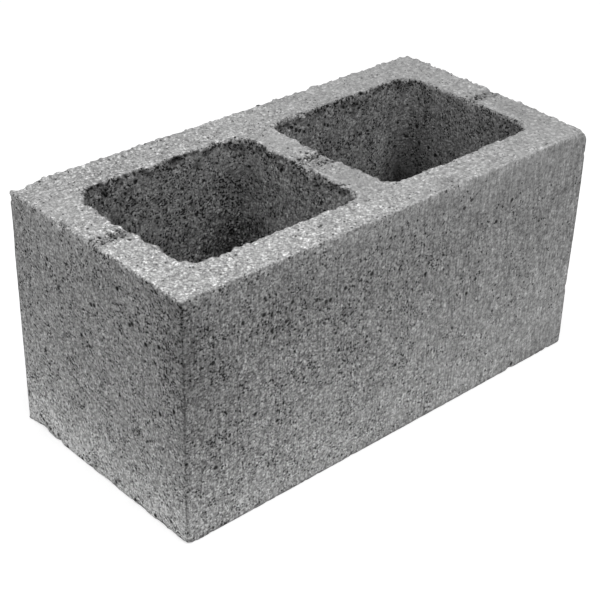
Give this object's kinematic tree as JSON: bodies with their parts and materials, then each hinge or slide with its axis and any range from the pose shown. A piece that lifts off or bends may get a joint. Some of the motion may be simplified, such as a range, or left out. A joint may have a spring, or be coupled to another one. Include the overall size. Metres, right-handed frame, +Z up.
{
  "type": "concrete block",
  "caption": "Hollow grey concrete masonry block with plain ends and tapered open cores, laid in mortar courses to build walls.",
  "frame": {"origin": "middle of the bottom face, which stood on the pallet in the mould and has the thicker shells and webs", "axes": "+X along the length, +Y across, away from the face shell that the bar marks lie a little nearer to, +Z up along the cores to the face with the bar marks"},
  "size_m": [0.397, 0.194, 0.194],
  "materials": {
    "concrete": "matte"
  },
  "bodies": {
    "root": {"block": "concrete"}
  },
  "joints": []
}
